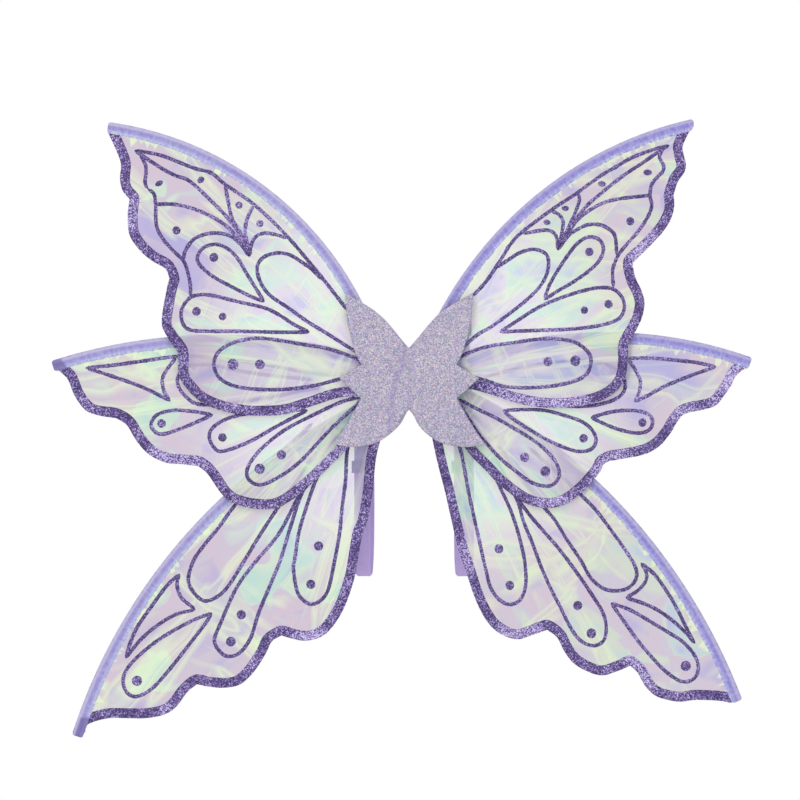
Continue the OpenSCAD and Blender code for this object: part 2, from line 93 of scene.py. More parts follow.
# Glitter lines printed on each wing. A line is the points that a smooth curve passes through.
LINES = {
    "upper_left": [
        [(315, 264), (284, 258), (248, 244), (227, 238), (211, 225), (178, 202), (145, 171), (122, 145),
         (99, 117), (70, 80)],
        [(315, 264), (285, 244), (268, 235), (251, 228), (222, 201), (206, 184), (195, 169), (183, 142)],
        [(309, 260), (302, 245), (303, 227), (300, 220)],
        [(300, 220), (293, 214), (291, 203), (290, 178), (283, 163), (271, 149), (259, 137), (254, 124),
         (251, 109), (251, 96)],
        [(291, 202), (270, 202), (251, 198), (233, 191), (218, 183), (204, 172), (193, 158), (183, 142)],
        [(211, 225), (208, 208), (203, 186), (192, 166), (183, 142)],
        [(178, 201), (185, 187), (188, 171), (185, 155), (183, 142)],
        [(183, 142), (180, 158), (174, 166), (164, 169), (152, 167), (139, 163)],
        [(259, 137), (257, 148), (248, 161), (236, 167), (221, 169), (206, 166), (194, 157), (183, 142)],
        [(166, 90), (176, 106), (186, 122), (196, 139), (208, 151), (222, 156), (236, 152), (243, 141),
         (239, 131), (225, 119), (203, 107), (181, 96), (166, 90)],
        [(58, 31), (71, 39), (93, 53), (116, 67), (137, 82), (160, 98), (171, 114), (174, 130), (167, 141),
         (152, 146), (137, 144), (122, 135), (111, 127), (99, 115)],
        [(114, 55), (132, 64), (149, 75), (166, 83), (196, 90), (225, 97), (240, 98), (252, 94), (261, 81),
         (260, 66), (252, 58), (231, 56), (196, 56), (152, 55), (114, 55)],
        [(52, 18), (63, 26), (93, 36), (122, 41), (152, 46), (174, 48), (198, 44), (217, 34), (224, 18),
         (216, 1), (191, -9), (149, -11), (111, -7), (76, 2)],
    ],
    "middle_left": [
        [(371, 14), (340, 17), (304, 22), (267, 27), (230, 27), (199, 23), (171, 19), (129, 11), (90, 5)],
        [(371, 14), (355, 9), (328, 0), (302, -10), (274, -24)],
        [(267, 26), (277, 13), (283, 1), (281, -13), (274, -24)],
        [(110, 0), (180, 8), (226, 17), (252, 16), (264, 6), (265, -6), (256, -19), (240, -28), (200, -26),
         (140, -16), (100, -8)],
        [(225, -40), (249, -36), (271, -35), (289, -40), (296, -51), (291, -60), (281, -62), (262, -56),
         (243, -48), (225, -40)],
        [(116, -35), (146, -34), (187, -39), (212, -46), (226, -56), (229, -66), (224, -77), (214, -82),
         (183, -71), (151, -53), (132, -43), (116, -35)],
        [(54, -19), (79, -26), (111, -41), (143, -58), (170, -80), (184, -99), (185, -112), (175, -120),
         (159, -117), (127, -96), (87, -54), (54, -24)],
    ],
    "lower_left": [
        [(62, -50), (70, -82), (72, -115), (76, -147), (79, -177), (86, -215), (92, -241), (100, -253),
         (111, -258), (121, -253), (128, -242), (132, -217), (130, -203), (126, -177), (119, -152),
         (106, -115), (90, -84), (74, -56)],
        [(80, -62), (104, -100), (127, -136), (149, -177), (178, -212), (198, -240), (216, -280), (223, -300),
         (215, -314), (205, -318), (193, -313), (181, -296), (172, -268), (158, -234), (147, -207),
         (136, -171), (122, -130), (100, -92), (80, -62)],
        [(78, -48), (112, -92), (150, -147), (171, -179), (188, -207), (207, -237), (221, -250), (235, -254),
         (247, -244), (253, -229), (246, -206), (230, -184), (219, -171), (200, -145), (160, -97),
         (110, -50)],
        [(325, -320), (320, -303), (311, -283), (295, -260), (278, -237), (263, -223)],
        [(263, -223), (266, -235), (261, -250), (245, -264)],
        [(245, -264), (268, -270), (291, -284), (309, -300), (325, -320)],
        [(226, -268), (251, -278), (286, -298), (312, -319), (325, -335), (328, -348), (323, -360),
         (312, -364), (295, -355), (278, -337), (251, -303), (234, -281), (226, -268)],
    ],
    "upper_right": [
        [(313, 269), (290, 263), (266, 254), (248, 244), (230, 234), (201, 214), (171, 195), (136, 170),
         (121, 155), (114, 144), (94, 115), (76, 96)],
        [(313, 269), (296, 259), (278, 247), (260, 236), (242, 223), (227, 211), (215, 201), (204, 189),
         (190, 170), (179, 149)],
        [(306, 264), (301, 256), (306, 246), (305, 239), (299, 233), (292, 224), (290, 211), (292, 200),
         (287, 187), (275, 170), (263, 157), (253, 145), (248, 135), (245, 124), (246, 106)],
        [(292, 212), (272, 210), (254, 208), (236, 204), (221, 197), (206, 187), (195, 174), (179, 149)],
        [(203, 215), (205, 207), (201, 195), (194, 180), (179, 149)],
        [(171, 194), (180, 190), (185, 182), (184, 170), (179, 149)],
        [(179, 149), (178, 162), (174, 169), (166, 172), (154, 171), (137, 168)],
        [(250, 143), (248, 164), (242, 172), (230, 178), (215, 178), (201, 172), (191, 165), (179, 149)],
        [(163, 92), (169, 109), (179, 126), (191, 143), (203, 157), (216, 164), (229, 161), (234, 150),
         (229, 137), (215, 124), (197, 112), (179, 102), (163, 92)],
        [(60, 34), (82, 52), (97, 60), (112, 70), (130, 83), (145, 95), (157, 107), (165, 120), (168, 133),
         (166, 143), (159, 148), (148, 150), (133, 146), (121, 139), (105, 129)],
        [(109, 55), (127, 66), (148, 79), (166, 88), (191, 97), (212, 103), (230, 106), (246, 104), (256, 95),
         (259, 83), (253, 71), (236, 64), (212, 60), (188, 58), (157, 57), (127, 56), (109, 55)],
        [(53, 22), (73, 32), (97, 39), (127, 43), (157, 47), (179, 47), (200, 43), (215, 32), (219, 20),
         (214, 7), (200, -1), (172, -7), (139, -9), (112, -7), (97, -2), (76, 4)],
    ],
    "middle_right": [
        [(367, 15), (343, 20), (315, 23), (288, 25), (262, 25)],
        [(367, 15), (337, 5), (306, -7), (285, -18), (269, -25)],
        [(262, 24), (271, 10), (276, -1), (275, -13), (269, -25)],
        [(86, 2), (113, 10), (137, 14), (164, 19), (204, 22), (228, 20), (246, 13), (255, 5), (258, -6),
         (255, -15), (246, -22), (231, -27), (212, -30), (179, -29), (131, -17), (83, -5)],
        [(217, -43), (240, -37), (258, -35), (276, -36), (288, -41), (291, -50), (286, -58), (273, -61),
         (255, -58), (237, -52), (217, -43)],
        [(111, -35), (137, -34), (161, -35), (182, -40), (204, -47), (217, -56), (223, -68), (219, -78),
         (208, -82), (192, -80), (167, -70), (143, -57), (122, -44), (111, -35)],
        [(58, -22), (77, -32), (101, -43), (125, -56), (146, -68), (164, -82), (175, -95), (179, -108),
         (174, -118), (164, -122), (146, -118), (128, -106), (110, -92), (95, -77), (80, -60), (58, -26)],
    ],
    "lower_right": [
        [(50, -57), (59, -86), (64, -112), (70, -141), (76, -167), (82, -193), (88, -218), (94, -239),
         (105, -253), (118, -258), (130, -252), (136, -237), (136, -218), (133, -198), (127, -175),
         (118, -150), (108, -129), (92, -98), (66, -60)],
        [(85, -64), (111, -109), (127, -141), (133, -161), (144, -187), (154, -213), (166, -239), (177, -259),
         (189, -282), (202, -299), (217, -305), (229, -300), (233, -286), (229, -267), (214, -244),
         (195, -218), (177, -195), (156, -172), (141, -155), (127, -137), (105, -105)],
        [(103, -76), (135, -118), (156, -144), (171, -161), (186, -184), (202, -207), (214, -227),
         (229, -239), (244, -242), (259, -239), (269, -228), (268, -214), (256, -195), (241, -175),
         (223, -152), (205, -134), (177, -109), (141, -78)],
        [(275, -210), (292, -224), (307, -244), (319, -264), (330, -285), (340, -302)],
        [(275, -210), (281, -220), (281, -230), (272, -241), (257, -250)],
        [(257, -250), (277, -256), (295, -264), (313, -276), (328, -289), (340, -302)],
        [(239, -256), (262, -264), (286, -277), (307, -289), (325, -300), (339, -315), (344, -329),
         (339, -342), (325, -346), (307, -336), (289, -319), (271, -299), (253, -275), (239, -256)],
    ],
}

# Glitter dots on each wing: out from the middle, up and radius. Some are flattened, by a share, at a tilt.
DOTS = {
    "upper_left": [(287, 226, 4.8, 0.62, -28), (239, 230, 4.4, 0.8, -40), (267, 172, 4.8), (195, 201, 4.2),
                   (171, 180, 4.2), (224, 141, 5.2), (244, 79, 5), (214, 73, 4.4), (202, 18, 6.4),
                   (171, 18, 5.6)],
    "middle_left": [(284, -50, 5), (214, -66, 5), (171, -102, 6), (146, -86, 5.4)],
    "lower_left": [(103, -191, 5.4), (112, -235, 5.4), (192, -270, 5.4), (204, -301, 5.6), (312, -346, 6)],
    "upper_right": [(287, 238, 5, 0.7, -3), (232, 225, 4.7, 0.7, -5), (188, 197, 4.4, 0.68, -8),
                    (166, 181, 4.3, 0.72, -8), (266, 182, 4.8), (217, 147, 5), (240, 87, 5), (211, 80, 4.4),
                    (200, 22, 6.2), (167, 21, 5.4)],
    "middle_right": [(279, -49, 5), (208, -67, 5), (162, -105, 6), (137, -89, 5.6)],
    "lower_right": [(104, -194, 5.4), (117, -236, 5.4), (199, -259, 5.4), (215, -291, 5.8), (329, -328, 6)],
}


def joint(name):
    return next(j for j in frame["joints"] if j["name"] == name)


class Plane:
    """An upright plane: u out from the middle, v up and h along its normal, in mm."""

    def __init__(self, origin, normal, sign):
        self.origin = np.array(origin, float)
        self.n = np.array(normal, float) / np.linalg.norm(normal)
        self.out = sign * np.cross([0, 0, 1], self.n)
        self.up = np.array([0.0, 0.0, 1.0])
        self.lift = 0.0

    def world(self, u, v, h):
        q = (np.stack([u, v], -1) - RIVET) * MM
        h = (np.asarray(h, float) * MM + self.lift)[..., None]
        return self.origin + q[..., :1] * self.out + q[..., 1:] * self.up + h * self.n

    def flat(self, points):
        q = points - self.origin
        uv = np.stack([q @ self.out, q @ self.up], -1) / MM + RIVET
        return uv[:, 0], uv[:, 1], (q @ self.n - self.lift) / MM

    def rest_on(self, node):
        """Makes h zero at a CAD node's front face."""
        self.lift = 0.0
        self.lift = self.flat(points_of(node))[2].max() * MM
        return self


def half_plane(side):
    """The plane of a side's wings and of its half of the pad. Its normal is towards the glitter side."""
    fan = joint(f"fan_upper_{side}")
    return Plane(fan["pos_m"], SIDES[side] * np.array(fan["axis"]), SIDES[side])


def back_plane(y):
    """The plane of the back, with u to the right. Its normal is towards the wearer."""
    return Plane([RIVET[0] * MM, y, RIVET[1] * MM], [0, 1, 0], -1)


def points_in(obj):
    co = np.empty(len(obj.data.vertices) * 3)
    obj.data.vertices.foreach_get("co", co)
    return co.reshape(-1, 3)


def points_of(node):
    return points_in(frame["nodes"][node])


# ---- curves and outlines ----

def curve(knots, step):
    """Points about step apart on a smooth curve through the knots."""
    p = np.array(knots, float)
    p = np.vstack([2 * p[0] - p[1], p, 2 * p[-1] - p[-2]])
    made = []
    for a, b, c, d in zip(p[:-3], p[1:-2], p[2:-1], p[3:]):
        t = np.linspace(0, 1, max(2, math.ceil(np.linalg.norm(c - b) / step)), endpoint=False)[:, None]
        made.append((2 * b + (c - a) * t + (2 * a - 5 * b + 4 * c - d) * t ** 2
                     + (3 * b - a - 3 * c + d) * t ** 3) / 2)
    return np.vstack(made + [p[-2:-1]])


def rim(node, keys, height, slack):
    """The edges round a CAD node's highest side, as a map from each point's key to the next one's."""
    mesh = frame["nodes"][node].data
    mesh.calc_loop_triangles()
    edges = set()
    for t in mesh.loop_triangles:
        if min(height[i] for i in t.vertices) > height.max() - slack:
            k = [keys[i] for i in t.vertices]
            edges.update(zip(k, k[1:] + k[:1]))
    return {a: b for a, b in edges if (b, a) not in edges and a != b}


def normals(p):
    """The unit normal at each point of a path."""
    d = np.gradient(p, axis=0)
    d /= np.linalg.norm(d, axis=1)[:, None]
    return np.stack([-d[:, 1], d[:, 0]], -1)


def outline(node, plane):
    """The outline of a flat CAD node's front face, in its plane."""
    u, v, h = plane.flat(points_of(node))
    follows = rim(node, [(round(a, 2), round(b, 2)) for a, b in zip(u, v)], h, 0.01)
    best = []
    while follows:
        loop = [min(follows)]
        while loop[-1] in follows:
            b = follows.pop(loop[-1])
            if b == loop[0]:
                break
            loop.append(b)
        if len(loop) > len(best):
            best = loop
    return np.array(best, float)


def smoothed(loop, step, corner_deg=28):
    """The closed outline with points about step apart, rounded between its corners."""
    ahead, behind = np.roll(loop, -1, 0) - loop, loop - np.roll(loop, 1, 0)
    turn = np.degrees(np.abs(np.angle((ahead[:, 0] + 1j * ahead[:, 1]) / (behind[:, 0] + 1j * behind[:, 1]))))
    corners = [i for i in range(len(loop)) if turn[i] > corner_deg] or [0]
    made = []
    for a, b in zip(corners, corners[1:] + [corners[0] + len(loop)]):
        run = [loop[k % len(loop)] for k in range(a, b + 1)]
        made.append(curve(run, step)[:-1])
    pts = np.vstack(made)
    keep = np.linalg.norm(np.roll(pts, -1, 0) - pts, axis=1) > step * 0.2
    return pts[keep]


def inside(loop, pts):
    x, y = pts[:, 0], pts[:, 1]
    hit = np.zeros(len(pts), bool)
    for (ax, ay), (bx, by) in zip(loop, np.roll(loop, -1, 0)):
        if ay != by:
            hit ^= ((ay > y) != (by > y)) & (x < (bx - ax) * (y - ay) / (by - ay) + ax)
    return hit


def nearest(tree_points, pts):
    tree = KDTree(len(tree_points))
    for i, p in enumerate(tree_points):
        tree.insert((p[0], p[1], 0), i)
    tree.balance()
    return np.array([tree.find((p[0], p[1], 0))[2] for p in pts])


def filled(loop, step):
    """Triangles about step wide that fill an outline, and how far each point is from the outline."""
    lo, hi = loop.min(0), loop.max(0)
    rows = []
    for k, y in enumerate(np.arange(lo[1], hi[1], step * 0.866)):
        x = np.arange(lo[0] + (k % 2) * step / 2, hi[0], step)
        rows.append(np.stack([x, np.full(len(x), y)], -1))
    grid = np.vstack(rows)
    grid = grid[inside(loop, grid)]
    grid = grid[nearest(loop, grid) > step * 0.62]
    pts = np.vstack([loop, grid])
    n = len(loop)
    verts, _, faces, *_ = delaunay_2d_cdt(
        [Vector(p) for p in pts], [(i, (i + 1) % n) for i in range(n)], [], 1, 1e-5)
    made = np.array([tuple(v) for v in verts])
    return made, [tuple(f) for f in faces], nearest(loop, made)


# ---- pieces ----

def piece(name, verts, faces, material, body=None):
    mesh = bpy.data.meshes.new(name)
    mesh.from_pydata([tuple(v) for v in verts], [], faces)
    mesh.update()
    obj = bpy.data.objects.new(name, mesh)
    bpy.context.scene.collection.objects.link(obj)
    mesh.materials.append(material)
    mesh.shade_smooth()
    if body:
        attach(obj, body)
    return obj


def attribute(obj, name, values):
    """Keeps one vector for each point, for the material to read."""
    a = obj.data.attributes.new(name, "FLOAT_VECTOR", "POINT")
    a.data.foreach_set("vector", np.ascontiguousarray(values, dtype=np.float32).ravel())


def attribute_value(obj, name, values):
    """Keeps one number for each point, as the X of a vector."""
    attribute(obj, name, np.stack([values, 0 * values, 0 * values], -1))


def on_film(u, v, seed):
    """Where points are in the wing's plane, in metres, with the wing's seed as Z."""
    return np.stack([u * MM, v * MM, np.full(len(u), seed)], -1)


def shell_faces(faces, n):
    """A front's faces, the same n points' faces at the back, and the wall between their edges."""
    directed = {(f[k], f[(k + 1) % 3]) for f in faces for k in range(3)}
    back = [tuple(i + n for i in reversed(f)) for f in faces]
    return list(faces) + back + [(b, a, a + n, b + n) for a, b in directed if (b, a) not in directed]


def tube_faces(rings, m):
    """The walls of a tube whose rings have m points, and its two ends."""
    walls = [(k * m + j, k * m + (j + 1) % m, (k + 1) * m + (j + 1) % m, (k + 1) * m + j)
             for k in range(rings - 1) for j in range(m)]
    return walls + [tuple(range(m - 1, -1, -1)), tuple((rings - 1) * m + j for j in range(m))]


def keep_rest(obj):
    attribute(obj, "rest", points_in(obj))


def ease(x):
    x = np.clip(x, 0, 1)
    return x * x * (3 - 2 * x)


def grain(x, y, z):
    """Smooth noise."""
    return noise.noise(Vector((x, y, z)))


def ridge(x, y, z):
    """Noise with sharp creases."""
    return 1 - 3.2 * abs(grain(x, y, z))


def crumple(u, v, seed):
    """How far the slack film stands off its plane, in mm: folds from the hub, creases and small dents."""
    du, dv = u - RIVET[0], v - RIVET[1]
    r, a = np.hypot(du, dv), np.arctan2(dv, du)
    made = np.empty(len(u))
    for i in range(len(u)):
        near = math.exp(-r[i] / 130)
        fold = ridge(a[i] * 8 + 0.004 * r[i], r[i] / 240, seed)
        crease = ridge(u[i] / 58 + 0.3 * a[i], v[i] / 58, seed + 5.3)
        dent = grain(u[i] / 17, v[i] / 17, seed + 9.1)
        made[i] = (0.45 + 0.9 * near) * fold + 0.65 * crease + 0.28 * dent
    return np.clip(made, -2.2, 2.2)


class Spar:
    """The arc of a wing's spar in the wing's plane, fitted to the CAD rod."""

    def __init__(self, level, side, plane):
        u, v, h = plane.flat(points_of(f"spar_{level}_{side}"))
        fit = np.linalg.lstsq(np.stack([2 * u, 2 * v, np.ones(len(u))], -1), u * u + v * v, rcond=None)[0]
        self.mid = fit[:2]
        self.r = math.sqrt(fit[2] + fit[:2] @ fit[:2])
        self.h = (h.max() + h.min()) / 2
        a = np.arctan2(v - self.mid[1], u - self.mid[0])
        tip_end = np.argmax(np.hypot(u - RIVET[0], v - RIVET[1]))
        self.tip = a[tip_end]
        self.hub = a.max() if self.tip - a.min() < a.max() - self.tip else a.min()

    def at(self, angle, depth):
        """A point on the arc, depth mm inside the rod's centre."""
        return self.mid + (self.r - depth) * np.stack([np.cos(angle), np.sin(angle)], -1)

    def seam_gap(self, u, v):
        """How far points are inside the sleeve's inner edge."""
        return self.r - SEAM - np.hypot(u - self.mid[0], v - self.mid[1])

    def along(self, u, v):
        """How far points are from the spar's tip, along its arc."""
        return np.abs(np.arctan2(v - self.mid[1], u - self.mid[0]) - self.tip) * self.r


def height(u, v, seed, spar):
    """The film's height: flat where the sleeve holds it, and gathered in puckers beside the seam."""
    gap, along = spar.seam_gap(u, v), spar.along(u, v)
    tug = np.array([grain(a / 11, seed, 0) + 0.6 * grain(a / 5.5, seed, 3) for a in along])
    pucker = 1.3 * tug * ease(gap / 5) * np.exp(-np.maximum(gap, 0) / 14)
    return crumple(u, v, seed) * ease(gap / 20) + pucker


# The lower left film is clearer in a strip beside the middle, where its arm loop shows.
CLEAR_WIDTH = 74
CLEAR_LENGTH = 190


def film(level, side, plane, spar, seed):
    """The wing's thin film, and its outline."""
    loop = smoothed(outline(f"film_{level}_{side}", plane), FILM_STEP)
    uv, faces, _ = filled(loop, FILM_STEP)
    u, v = uv[:, 0], uv[:, 1]
    obj = piece(f"film_sheet_{level}_{side}", plane.world(u, v, height(u, v, seed, spar)), faces,
                LOOKS[f"film_{side}"], f"wing_{level}_{side}")
    du, dv = u - RIVET[0], v - RIVET[1]
    attribute(obj, "fan", np.stack([np.arctan2(dv, du), np.hypot(du, dv) * MM, np.full(len(u), seed)], -1))
    attribute(obj, "flat", on_film(u, v, seed))
    attribute(obj, "seam", on_film(spar.along(u, v), spar.seam_gap(u, v), seed))
    behind = ease((CLEAR_WIDTH - u) / 8) * ease((CLEAR_LENGTH - np.hypot(du, dv)) / 70)
    attribute_value(obj, "clear", behind if (level, side) == ("lower", "left") else np.zeros(len(u)))
    obj.visible_shadow = False
    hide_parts(f"film_{level}_{side}")
    return obj, loop


def hem(level, side, plane, spar, seed):
    """The glitter hem: a band with a rolled edge that follows the film."""
    loop = smoothed(outline(f"hem_{level}_{side}", plane), HEM_STEP)
    away = loop - loop.mean(0)
    ragged = np.array([grain(p[0] / 1.7, p[1] / 1.7, seed) for p in loop])
    loop = loop + away / np.linalg.norm(away, axis=1)[:, None] * ragged[:, None] * HEM_RAGGED
    uv, faces, edge = filled(loop, HEM_STEP)
    u, v = uv[:, 0], uv[:, 1]
    base = height(u, v, seed, spar)
    ripple = np.array([grain(a / 7, b / 7, seed + 2) for a, b in uv])
    front = base + HEM_LIFT * np.sqrt(ease(edge / HEM_ROLL)) + 0.3 * ripple * ease(edge / 4)
    verts = np.vstack([plane.world(u, v, front), plane.world(u, v, base - HEM_DROP)])
    obj = piece(f"glitter_hem_{level}_{side}", verts, shell_faces(faces, len(uv)), LOOKS["hem"],
                f"wing_{level}_{side}")
    attribute(obj, "flat", np.tile(on_film(u, v, seed), (2, 1)))
    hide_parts(f"hem_{level}_{side}")
    return obj


def line_strip(knots, seed):
    """A bead of glitter glue along a curve: points across each step with their lifts, and faces."""
    p = curve(knots, LINE_STEP)
    side = normals(p)
    across = np.array([-1, -0.8, -0.3, 0.3, 0.8, 1])
    lifts = np.array([0.08, 0.75, 1, 1, 0.75, 0.08]) * LINE_LIFT
    wide = np.array([1 + 0.2 * grain(q[0] / 3, q[1] / 3, seed) for q in p])
    ends = np.minimum(np.arange(len(p)), np.arange(len(p))[::-1])
    wide *= 0.35 + 0.65 * ease(ends / 2.5)
    uv = (p[:, None] + side[:, None] * (across[None, :, None] * (wide * LINE_WIDTH / 2)[:, None, None]))
    m = len(across)
    faces = [(k * m + j, (k + 1) * m + j, (k + 1) * m + j + 1, k * m + j + 1)
             for k in range(len(p) - 1) for j in range(m - 1)]
    return uv.reshape(-1, 2), np.tile(lifts, len(p)), faces


def dot_disc(seed, u, v, radius, flattened=1.0, tilt_deg=0.0):
    """A low round bead of glitter glue: points with their lifts, and faces."""
    along = np.array([math.cos(math.radians(tilt_deg)), math.sin(math.radians(tilt_deg))])
    rings = [(0, 1.3), (0.45, 1.25), (0.8, 1), (0.95, 0.6), (1, 0.08)]  # share of the radius, and lift
    n = 20
    uv, lifts, faces = [(u, v)], [rings[0][1] * LINE_LIFT], []
    for k, (share, lift) in enumerate(rings[1:]):
        for j in range(n):
            a = 2 * math.pi * j / n
            size = radius * share * (1 + 0.07 * grain(2 * math.cos(a), 2 * math.sin(a), seed + u))
            x, y = size * math.cos(a), size * math.sin(a) * flattened
            uv.append((u + x * along[0] - y * along[1], v + x * along[1] + y * along[0]))
            lifts.append(lift * LINE_LIFT)
            nxt = (j + 1) % n
            if k == 0:
                faces.append((0, 1 + j, 1 + nxt))
            else:
                a0, b0 = 1 + (k - 1) * n, 1 + k * n
                faces.append((a0 + j, b0 + j, b0 + nxt, a0 + nxt))
    return np.array(uv), np.array(lifts), faces


def glitter_print(level, side, plane, spar, seed):
    """The printed lines and dots of one wing, as one piece that follows the film."""
    uvs, lifts, faces = [], [], []
    start = 0
    parts = [line_strip(k, seed + i) for i, k in enumerate(LINES[f"{level}_{side}"])]
    parts += [dot_disc(seed, *d) for d in DOTS[f"{level}_{side}"]]
    for uv, lift, f in parts:
        uvs.append(uv)
        lifts.append(lift)
        faces += [tuple(i + start for i in q) for q in f]
        start += len(uv)
    uv, lift = np.vstack(uvs), np.concatenate(lifts)
    u, v = uv[:, 0], uv[:, 1]
    if SIDES[side] > 0:
        faces = [tuple(reversed(f)) for f in faces]
    obj = piece(f"glitter_print_{level}_{side}", plane.world(u, v, height(u, v, seed, spar) + lift), faces,
                LOOKS["print"], f"wing_{level}_{side}")
    attribute(obj, "flat", on_film(u, v, seed))
    return obj


# How far each sleeve reaches past the rod's tip.
PAST_TIP = {"upper_left": 5.6, "middle_left": 4.8, "lower_left": 5.2,
            "upper_right": 4.4, "middle_right": 4.4, "lower_right": 7.2}
DARK_TIP = {"middle_left": 12.0, "lower_left": 22.0}  # how long the darker stretch at a sleeve's tip is
SLEEVE_ROOT = 22      # from the end of the arc at the hub to the sleeve
SLEEVE_RADIUS = 3.15  # round the rod


def rounded_off(e, r):
    """How much a corner of radius r takes away at a distance e from the end."""
    e = min(max(e, 0.0), r)
    return r - math.sqrt(r * r - (r - e) ** 2)


def sleeve_section():
    """Depth, height and whether it is on the rod, from the inner edge's front round the rod to its back."""
    front = [(SEAM, 0.25), (SEAM - 0.5, 0.75), (SEAM - 2.2, 0.95), (SEAM - 4.6, 1.0), (SEAM - 6.2, 1.4)]
    back = [(d, -h) for d, h in reversed(front)]
    around = np.radians(np.linspace(62, 298, 13))
    tube = [(math.cos(t) * SLEEVE_RADIUS, math.sin(t) * SLEEVE_RADIUS) for t in around]
    return [(d, h, part is tube) for part in (front, tube, back) for d, h in part]


def sleeve(level, side, plane, spar, seed):
    """Fabric folded round the rod and sewn to the film. It is closed past the rod's tip."""
    end_curve = 8.5 if (level, side) == ("upper", "right") else 3.6
    way = math.copysign(1, spar.hub - spar.tip)
    first = spar.hub - way * SLEEVE_ROOT / spar.r
    last = spar.tip - way * PAST_TIP[f"{level}_{side}"] / spar.r
    length = abs(first - last) * spar.r
    steps = np.concatenate([np.linspace(0, length - 4, int(length / 2.2)),
                            length - np.geomspace(3.5, 0.05, 9)])
    section = sleeve_section()
    dark = DARK_TIP.get(f"{level}_{side}", 0.0)
    verts, rest, tip = [], [], []
    for s in steps:
        a = first + (last - first) * s / length
        e = length - s
        pucker = math.sin(s / 1.35 + 2.2 * grain(s / 14, seed, 0))
        ragged = grain(s / 3.1, seed, 4) + 0.7 * grain(s / 9, seed, 6)
        wave = grain(s / 42, seed, 8)
        slim = 1 - rounded_off(e, SLEEVE_RADIUS) / SLEEVE_RADIUS
        short = rounded_off(e, end_curve)
        for depth, h, on_rod in section:
            inward = max(0.0, min(1.0, (depth - 1.5) / (SEAM - 1.5)))
            wide = depth * slim if on_rod else depth - short * inward
            wide += inward * ease(e / 6) * (0.75 * ragged + 0.25 * pucker + 0.5 * wave)
            lift = h + inward * (0.35 * pucker * (1 - abs(2 * inward - 1)) + 0.3 * ragged)
            uv = spar.at(a, wide)
            verts.append(plane.world(uv[0], uv[1], spar.h + lift * slim))
            rest.append((s * MM, depth * MM, seed))
            # Darker over the last stretch to the tip; on the upper and lower wings it fades out across the
            # rod towards the rim.
            shade = 1 - ease((e - dark - 0.4 * depth) / 4 + 0.5) if dark else 0.0
            tip.append((shade if level == "middle" else shade * ease(depth / 4 + 0.5), e * MM, 0.0))
    obj = piece(f"sleeve_fabric_{level}_{side}", verts, tube_faces(len(steps), len(section)),
                LOOKS[f"sleeve_{side}"], f"wing_{level}_{side}")
    attribute(obj, "flat", rest)
    attribute(obj, "tip", tip)
    fix_normals(obj)
    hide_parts(f"sleeve_{level}_{side}")
    return obj


def fix_normals(obj):
    bm = bmesh.new()
    bm.from_mesh(obj.data)
    bmesh.ops.recalc_face_normals(bm, faces=bm.faces)
    bm.to_mesh(obj.data)
    bm.free()


def wing(level, side, seed):
    plane = half_plane(side).rest_on(f"film_{level}_{side}")
    spar = Spar(level, side, plane)
    sheet, loop = film(level, side, plane, spar, seed)
    cover = sleeve(level, side, plane, spar, seed)
    band = hem(level, side, plane, spar, seed)
    lines = glitter_print(level, side, plane, spar, seed)


# ---- the hub and the loops ----

def slab_piece(name, node, plane, step, material, thick, shape, round_edge=0.5, square_middle=False):
    """A closed flat piece in a CAD node's outline. shape moves its front: f(u, v, edge) in mm."""
    loop = smoothed(outline(node, plane), step)
    uv, faces, edge = filled(loop, step)
    u, v = uv[:, 0], uv[:, 1]
    move = shape(u, v, edge)
    rounding = round_edge * (1 - np.sqrt(ease(edge / (round_edge * 3))))
    if square_middle:
        rounding *= ease(np.abs(plane.world(u, v, move)[:, 0]) / MM / 1.5)
    verts = np.vstack([plane.world(u, v, move - rounding), plane.world(u, v, rounding * 0.5 - thick)])
    obj = piece(name, verts, shell_faces(faces, len(uv)), material)
    fix_normals(obj)
    return obj, loop


# Where each half's soft crease runs: height, and distance out from the middle.
PAD_CREASE = {"left": [(-34, 22), (-23, 20.5), (-2, 14.7), (17, 6.7), (35, 4.4)],
              "right": [(-36, 5), (-20, 3.4), (12, 4.5), (35, 6)]}
PAD_BEND = 9.0    # how far from the middle the pad bends round from one half to the other
PAD_THICK = 1.2


def pad_crease(side, v):
    """How far out the crease is at each height."""
    return np.interp(v, *np.array(PAD_CREASE[side], float).T)


def pad_shape(side):
    """The pad's rounded middle, its soft crease and its slight waves."""
    slope = math.tan(math.acos(abs(half_plane(side).n[1])))

    def shape(u, v, _edge):
        bend = slope * (PAD_BEND ** 2 - np.maximum(PAD_BEND - u, 0) ** 2) / (2 * PAD_BEND)
        past = u - pad_crease(side, v)
        deep = 0.75 if side == "left" else 0.3
        crease = 0.6 * deep * np.exp(-((past - 4.5) / 4) ** 2) - deep * np.exp(-(past / 1.9) ** 2)
        wave = np.array([grain(a / 38, b / 38, 3.0) for a, b in zip(u, v)])
        return bend + crease * ease(u / 4) + 0.35 * wave * ease(u / 12)
    return shape


def pad(side):
    """Half of the glitter pad, bent round at the middle towards the other half."""
    plane = half_plane(side).rest_on(f"pad_{side}")
    obj, loop = slab_piece(f"glitter_pad_{side}", f"pad_{side}", plane, 2.2, LOOKS["pad"], PAD_THICK,
                           pad_shape(side), square_middle=True)
    inner = min(abs(v.co.x) for v in obj.data.vertices)
    for v in obj.data.vertices:
        if abs(v.co.x) < inner + 0.6 * MM:
            v.co.x = 0.0
    for e in obj.data.edges:  # the two halves' middle edges stay sharp, and meet
        if all(obj.data.vertices[i].co.x == 0.0 for i in e.vertices):
            e.use_edge_sharp = True
    keep_rest(obj)
    u, v, _ = plane.flat(points_in(obj))
    past = u - pad_crease(side, v)
    # Painted shade in the pad's crease, half as strong on the right.
    attribute_value(obj, "crease", np.exp(-(past / 2.4) ** 2) * (1.0 if side == "left" else 0.5))
    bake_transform(obj)
    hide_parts(f"pad_{side}")


